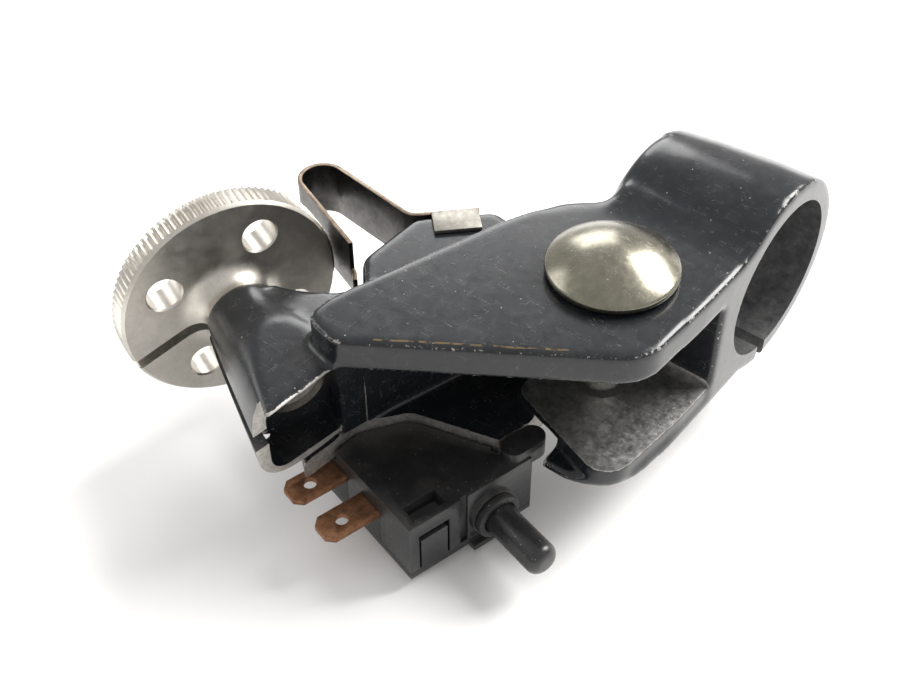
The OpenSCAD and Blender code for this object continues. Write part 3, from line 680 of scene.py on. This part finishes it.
def buildCasting():
    casting = rawCasting()
    casting.data.materials.append(blackPaint)
    castSkin(casting, perch["voxel"], perch["smoothing"])
    if len(casting.data.materials) == 0:
        casting.data.materials.append(blackPaint)
    relaxSaddleEnd(casting)
    carve(casting, lathe("bore", [(0, -20), (11.1, -20), (11.1, 20), (0, 20)], 144,
                         Matrix.Rotation(pi / 2, 4, "Y")), boreMetal)
    carve(casting, block("slit", (-20, -2.1, -30), (20, -0.1, -8)), boreMetal)
    front = roundedOutline([(-4.6, -30, 0), (-4.6, -37.8, 0), (-17.6, -41.4, 3.5), (-21.6, -47.5, 3),
                            (-22.3, -57, 0),
                            (-22.8, -75, 0), (0, -75, 0), (0, -30, 0)])
    carve(casting, prism("front", front, -14, levels["floor"] + 0.5), lipMetal)
    mouth = [(-24.3, -75), (-21.4, -50), (-20.6, -46.4), (-5, -46.4), (-5, -75)]
    carve(casting, prism("mouth", mouth, levels["floor"] + 0.05, levels["slotTop"] - 0.05), lipMetal)
    darkenWallEnd(casting)
    carve(casting, prism("padFace", [(-10, -15.35), (-10, -40), (14, -40), (14, -15.35)], levels["pad"],
                         levels["pad"] + 2), machined)
    carve(casting, lathe("pivotHole", [(0, -20), (2.85, -20), (2.85, 15), (0, 15)], 64,
                         Matrix.Translation((pivot["x"], pivot["y"], 0))), boreMetal)
    chamber = roundedOutline([(-4.8, 4.6, 0.8), (-4.8, -6.1, 2.6), (6.8, -6.1, 2.6), (6.8, 4.6, 0.8)])
    carve(casting, prism("chamber", chamber, adjuster["mouth"] - 4.5, 40, adjusterMatrix()), blackPaint)
    carve(casting, threadCutter(), threadMetal)
    cable = block("cableSlot", (-1.3, -20, 2), (1.3, 0, 30), adjusterMatrix())
    carve(casting, cable, boreMetal)
    ear = roundedOutline([(-3.95, 3.25, 1.6), (0.05, 3.25, 1.6), (0.05, 10.25, 1.6), (-3.95, 10.25, 1.6)])
    carve(casting, prism("earNotch", ear, -15, levels["floor"] + 1, switchMatrix()), lipMetal)
    carve(casting, lathe("clampHole", [(0, -9), (2.75, -9), (2.75, 9), (0, 9)], 48,
                         Matrix.Translation((-4, -1.1, -17.4)) @ Matrix.Rotation(-pi / 2, 4,
                                                                                 "X")), boreMetal)
    shade(casting, 32)
    place, normal = markEdges(casting)
    markBare(casting, place, normal)
    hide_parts("perch_casting")
    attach(casting, "bracket")
    print("casting", len(casting.data.polygons), "faces", [m.name for m in casting.data.materials])
    return casting


def relaxSaddleEnd(obj):
    # melts the inboard end of the sweep into the ring
    group = obj.vertex_groups.new(name="saddleEnd")
    for vertex in obj.data.vertices:
        x, y, z = vertex.co / mm
        weight = min(1, max(0, (z - 6.5) / 2)) * min(1, max(0, (-5.5 - x) / 2)) * min(1,
                                                                                      max(0,
                                                                                          (y + 19) / 3))
        if weight > 0 and y < 3:
            group.add([vertex.index], weight, "REPLACE")
    soften = obj.modifiers.new("relax", "SMOOTH")
    soften.factor = 0.5
    soften.iterations = 70
    soften.vertex_group = group.name
    applyModifiers(obj)
    obj.vertex_groups.clear()


def darkenWallEnd(obj):
    # the slot's back wall keeps its paint where it ends at the mouth
    mesh = obj.data
    names = [m.name for m in mesh.materials]
    lip, paint = names.index(lipMetal.name), names.index(blackPaint.name)
    for face in mesh.polygons:
        x, y, z = face.center / mm
        if face.material_index == lip and x < -19 and y > -52.2 and z > -9.4:
            face.material_index = paint


def markBare(obj, place, normal):
    # paint rubbed off on the end face of the ring and at the lips
    x, y, z = place.T
    ringFace = np.clip((x - 10.35) / 0.35, 0, 1) * np.clip((normal[:, 0] - 0.75) / 0.2, 0,
                                                           1) * np.clip((y + 17) / 2, 0, 1)
    layer = obj.data.attributes.new("bare", "FLOAT", "POINT")
    lips = np.exp(-np.maximum(0, -(x + 23.2)) / 0.5) * (x < -20.5) * (y < -49) * (z < 5.4)
    layer.data.foreach_set("value", (0.45 * ringFace + 0.45 * lips).astype(np.float32))


buildCasting()


# knurled adjuster
wheel = {"radius": 15.0, "thick": 4.2, "teeth": 98, "toothDepth": 0.5, "perTooth": 8, "hub": 7.4,
         "hubLength": 2.6,
         "holes": 4, "holeRadius": 2.3, "holeCircle": 9.9, "slot": 1.5, "slotTurn": radians(290)}


def buildWheel():
    n = wheel["teeth"] * wheel["perTooth"]
    big, thick = wheel["radius"], wheel["thick"]
    neck = 4.3
    rows = [(0, -thick, 0), (big - 4.5, -thick, 0), (big - 0.65, -thick, 0), (big - 0.1, -thick + 0.5, 1),
            (big, -thick + 0.7, 1), (big, -0.62, 1), (big - 0.05, -0.5, 1), (big - 0.1, -0.44,
                                                                             0.0), (big - 0.14, -0.4, 0),
            (big - 0.42, -0.06, 0), (big - 0.5, 0, 0), (12.5, 0, 0), (wheel["hub"] + 0.8, 0.0, 0)]
    for k in range(11):
        a = pi / 2 * k / 10
        rows.append((wheel["hub"] - (wheel["hub"] - neck) * sin(a), 0.02 + wheel["hubLength"]
                     * (1 - cos(a)), 0))
    rows += [(neck, 2.7, 0), (4.0, 2.9, 0), (4.0, 14.2, 0), (3.7, 14.5, 0), (0, 14.5, 0)]
    verts, faces, rings = [], [], []
    for r, h, tooth in rows:
        if r == 0:
            rings.append([len(verts)])
            verts.append((0, 0, h))
            continue
        rings.append(list(range(len(verts), len(verts) + n)))
        for k in range(n):
            a = 2 * pi * k / n
            wave = 0.5 - 0.5 * cos(2 * pi * k / wheel["perTooth"])
            reach = r - tooth * wheel["toothDepth"] * wave ** 0.8
            verts.append((reach * cos(a), reach * sin(a), h))
    for a, b in zip(rings, rings[1:]):
        for k in range(n):
            m = (k + 1) % n
            if len(a) == 1:
                faces.append((a[0], b[k], b[m]))
            elif len(b) == 1:
                faces.append((a[k], a[m], b[0]))
            else:
                faces.append((a[k], a[m], b[m], b[k]))
    made = addObject("adjusterWheel", verts, faces)
    made.data.materials.append(nickel)
    for k in range(wheel["holes"]):
        a = pi / 4 + k * pi / 2 + radians(16)
        spot = Matrix.Translation((wheel["holeCircle"] * cos(a), wheel["holeCircle"] * sin(a), 0))
        r = wheel["holeRadius"]
        carve(made, lathe("hole", [(0, -6), (r + 2.05, -6), (r, -3.95), (r, -0.2), (r + 0.2, 0),
                                   (r + 1.2, 1), (0, 1)], 64, spot))
    seat = lathe("seat", [(0, -6), (2.8, -6), (2.8, 7), (1.3, 7), (1.3, 20), (0, 20)], 64)
    carve(made, seat)
    slot = block("slot", (0, -wheel["slot"] / 2, -6), (20, wheel["slot"] / 2, 20),
                 Matrix.Rotation(wheel["slotTurn"], 4, "Z"))
    # the slot's walls take the darker metal as painted shade
    carve(made, slot, slotShade)
    made.data.transform(Matrix.Translation(Vector((adjuster["x"], adjuster["y"], adjuster["z"])) * mm)
                        @ Matrix.Rotation(adjuster["angle"], 4, "Z") @ Matrix.Rotation(pi / 2, 4, "Y"))
    shade(made, 35)
    markEdges(made)
    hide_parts("cable_adjuster")
    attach(made, "adjuster")
    return made


buildWheel()
print("wheel done")


# leaf spring
leaf = {"thick": 0.6, "low": -3.2, "high": 4.8, "lugInner": (-23.6, -16.4), "lugOuter": (-31.0, -24.1),
        "loop": 3.1,
        "loopBack": 10.6, "nose": 3.4, "gap": 0.3}


def leafPath():
    half = leaf["thick"] / 2
    inner, outer = Vector(leaf["lugInner"]), Vector(leaf["lugOuter"])
    along = (inner - outer).normalized()
    out = Vector((-along.y, along.x))
    back = (inner + outer) / 2
    axis = Vector((cos(adjuster["angle"]), sin(adjuster["angle"])))
    rimOut = Vector((-axis.y, axis.x))
    touch = Vector((adjuster["x"], adjuster["y"])) + rimOut * (wheel["radius"] + leaf["gap"] + half)
    centre = touch - axis * leaf["loopBack"] + rimOut * leaf["loop"]
    start = back + out * half + along * 3.4
    knee = back + out * half - along * 5.9
    points = [start, knee]
    steps = 28
    sweepAngle = radians(186) + adjuster["angle"]
    for k in range(steps + 1):
        a = radians(84) + sweepAngle * k / steps
        points.append(centre + leaf["loop"] * Vector((cos(a), sin(a))))
    nose = touch + axis * leaf["nose"]
    points += [nose]
    for k in range(1, 7):
        bend = k / 6
        points.append(nose + (axis - rimOut * 0.3 * bend).normalized() * 2.6 * bend)
    return points, back, along, out, nose


def softenCorner(points, index, reach, steps=6):
    # a bend of that reach in place of one corner
    a, b, c = points[index - 1], points[index], points[index + 1]
    start = b + (a - b).normalized() * reach
    end = b + (c - b).normalized() * reach
    bend = [(1 - t) ** 2 * start + 2 * t * (1 - t) * b + t * t * end
            for t in (k / steps for k in range(steps + 1))]
    return points[:index] + bend + points[index + 1:]


def buildLeafSpring():
    points, back, along, out, nose = leafPath()
    points = softenCorner(points, 1, 1.2)
    half = leaf["thick"] / 2
    sides = ([], [])
    for i, p in enumerate(points):
        before = (points[max(i, 1)] - points[max(i, 1) - 1]).normalized()
        after = (points[min(i, len(points) - 2) + 1] - points[min(i, len(points) - 2)]).normalized()
        mid = (before + after).normalized()
        offset = Vector((-mid.y, mid.x)) * half / mid.dot(after)
        sides[0].append(p + offset)
        sides[1].append(p - offset)
    strip = prism("leafSpring", sides[0] + sides[1][::-1], leaf["low"], leaf["high"])
    turn = Matrix.Rotation(adjuster["angle"], 4, "Z")
    tipCut = block("tipCut", (0.4, -4, -0.6), (8, 4, 8),
                   Matrix.Translation((nose.x, nose.y, leaf["low"] + 4.2)) @ turn)
    carve(strip, tipCut)
    bevelEdges(strip, 0.12)
    strip.data.materials.clear()
    # the strip gets the darker copy of the steel, painted shade
    strip.data.materials.append(shadedSpringSteel)
    strip.data.materials.append(copperEdge)
    for face in strip.data.polygons:
        if abs(face.normal.z) > 0.6:
            face.material_index = 1
    # tab folded over the lug
    tabOutline = [(-4.0, 0.0), (-4.0, leaf["thick"]), (-0.2, leaf["thick"]), (0.35, 0.42),
                  (leaf["thick"], 0.0), (leaf["thick"], -1.5),
                  (0.0, -1.5), (0.0, 0.0)]
    turned = Matrix(((along.x, out.x, 0, back.x), (along.y, out.y, 0, back.y),
                     (0, 0, 1, leaf["high"] - 0.18), (0, 0, 0, 1)))
    crossways = Matrix(((0, 0, 1, 0), (1, 0, 0, 0), (0, 1, 0, 0), (0, 0, 0, 1)))
    tab = prism("leafTab", tabOutline, -3.1, 3.2, turned @ crossways)
    bevelEdges(tab, 0.13)
    # the tab gets the lighter copy of the same steel, painted light from above
    tab.data.materials.append(litSpringSteel)
    tab.data.materials.append(copperEdge)
    # the tab's side faces take the coppery edge colour, which here is partly a painted highlight of those
    # edges
    for face in tab.data.polygons:
        if face.normal.x < -0.5 and abs(face.normal.z) < 0.5:
            face.material_index = 1
    for made in (strip, tab):
        shade(made, 30)
        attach(made, "bracket")
    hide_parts("leaf_spring")


def bevelEdges(obj, width, segments=2, angle=35):
    bevel = obj.modifiers.new("bevel", "BEVEL")
    bevel.width = width * mm
    bevel.segments = segments
    bevel.limit_method = "ANGLE"
    bevel.angle_limit = radians(angle)
    applyModifiers(obj)


buildLeafSpring()
print("spring done")


# pivot bolt
dome = {"radius": 8.2, "height": 2.9, "rim": 0.9, "seat": 10.4, "shaft": 2.8}


def buildPivotBolt():
    place = Matrix.Translation((pivot["x"], pivot["y"], 0))
    sphere = (dome["radius"] ** 2 + dome["height"] ** 2) / (2 * dome["height"])
    edgeAngle = asin(dome["radius"] / sphere)
    top = dome["seat"] + dome["rim"] + dome["height"]
    profile = [(0, dome["seat"]), (dome["radius"] - 0.5, dome["seat"]),
               (dome["radius"] - 0.12, dome["seat"] + 0.12),
               (dome["radius"], dome["seat"] + 0.4), (dome["radius"] - 0.02, dome["seat"] + 0.75)]
    for k in range(40):
        a = edgeAngle * 0.985 * (1 - k / 40)
        profile.append((sphere * sin(a), top - sphere * (1 - cos(a))))
    profile.append((0, top))
    head = lathe("pivotHead", profile, 128, place)
    head.data.materials.append(domeNickel)
    low = levels["flangeLow"] - 6.5
    r = dome["shaft"]
    shaft = lathe("pivotShaft", [(0, low), (r - 0.3, low), (r, low + 0.3), (r, 10.5), (0, 10.5)], 64, place)
    shaft.data.materials.append(shaftSteel)
    # painted shadow: a dark ring round the shaft's foot on the pad, where the pivot hole lies in shade
    collar = lathe("pivotShadeRing", [(2.8, -8.28), (3.5, -8.28), (3.35, -8.1), (2.8, -7.8)]
                   + [(2.8, -8.28)], 64, place)
    collar.data.materials.append(gritAndShade)
    washer = softCopy("pivot_washer", 0.08)
    washer.data.materials.append(gritAndShade)
    for made in (head, shaft, collar, washer):
        shade(made, 40)
        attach(made, "bracket")
    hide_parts("pivot_bolt")
    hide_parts("pivot_washer")


buildPivotBolt()


# small hardware and the switch
softPieces = {
    "clamp_screw": (zincSteel, 0.3, "bracket", "zinc_steel"),
    "clamp_washer": (zincSteel, 0.1, "bracket", "zinc_steel"),
    "clamp_nut": (zincSteel, 0.2, "bracket", "zinc_steel"),
    "pivot_nut": (zincSteel, 0.3, "bracket", "zinc_steel"),
    "leaf_screw": (zincSteel, 0.15, "bracket", "zinc_steel"),
    "switch_housing": (switchPlastic, 0.16, "bracket", "switch_plastic"),
    "switch_base": (switchPlastic, 0.16, "bracket", "switch_plastic"),
    "switch_screw": (zincSteel, 0.12, "bracket", "zinc_steel"),
    "switch_washer": (zincSteel, 0.06, "bracket", "zinc_steel"),
    "plunger_seal": (sealRubber, 0.2, "bracket", "seal_rubber"),
    "terminal_inner": (copper, 0.09, "bracket", "copper_blade"),
    "terminal_outer": (copper, 0.09, "bracket", "copper_blade"),
    "contact_tips": (silver, 0.1, "bracket", "contact_silver"),
    "contact_bridge": (silver, 0.05, "switch_plunger", "contact_silver"),
}


def buildSmallPieces():
    for node, (material, width, body, slot) in softPieces.items():
        made = softCopy(node, width)
        made.data.materials.append(material)
        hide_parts(node)
        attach(made, body)
    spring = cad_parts["return_spring"]
    spring.data.materials.clear()
    spring.data.materials.append(zincSteel)


def buildPlunger():
    body = softCopy("plunger", 0.1)
    body.data.materials.append(plungerPlastic)
    shade(body, 40)
    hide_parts("plunger")
    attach(body, "switch_plunger")


buildSmallPieces()
buildPlunger()
print("switch done")


# floor, light and camera
def buildFloor():
    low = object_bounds()[0][2]
    floor = addObject("floor", [(-4000, -4000, 0), (4000, -4000, 0), (4000, 4000, 0), (-4000, 4000, 0)],
                      [(0, 1, 2, 3)])
    floor.location.z = low - 0.0002
    made, _, shader = newMaterial("paleTable")
    shader.inputs["Base Color"].default_value = colour(0.93, 0.925, 0.92)
    shader.inputs["Roughness"].default_value = 0.6
    floor.data.materials.append(made)


def addSoftLight(name, place, aim, size, power, tint=(1, 1, 1)):
    data = bpy.data.lights.new(name, "AREA")
    data.shape = "RECTANGLE"
    data.size, data.size_y = size
    data.energy = power
    data.color = tint
    light = bpy.data.objects.new(name, data)
    scene.collection.objects.link(light)
    light.location = place
    light.rotation_euler = (Vector(aim) - Vector(place)).to_track_quat("-Z", "Y").to_euler()


def buildLight():
    world = bpy.data.worlds.new("studio")
    scene.world = world
    world.use_nodes = True
    back = world.node_tree.nodes["Background"]
    back.inputs["Color"].default_value = colour(1.0, 0.99, 0.975)
    back.inputs["Strength"].default_value = 0.72
    centre = (-0.02, -0.03, -0.005)
    addSoftLight("window", (0.16, 0.40, 0.42), centre, (0.40, 0.30), 7.5, (1, 0.99, 0.97))
    addSoftLight("leftWindow", (-0.42, 0.42, 0.30), centre, (0.3, 0.3), 1.5)
    addSoftLight("leftFill", (-0.6, -0.25, 0.35), centre, (0.4, 0.4), 1.2)


def buildCamera():
    data = bpy.data.cameras.new("camera")
    data.lens = 52.0
    data.sensor_width = 36.0
    data.clip_start = 0.005
    data.clip_end = 20
    camera = bpy.data.objects.new("camera", data)
    scene.collection.objects.link(camera)
    right = Vector((0.7785, 0.6276, -0.0059)).normalized()
    forward = Vector((-0.4543, 0.5570, -0.6952)).normalized()
    up = right.cross(forward).normalized()
    right = forward.cross(up).normalized()
    turned = Matrix((right, up, -forward)).transposed().to_4x4()
    camera.matrix_world = Matrix.Translation((0.05781, -0.12570, 0.11279)) @ turned
    scene.camera = camera


buildFloor()
buildLight()
buildCamera()
scene.view_settings.view_transform = "Standard"
print("stage done")
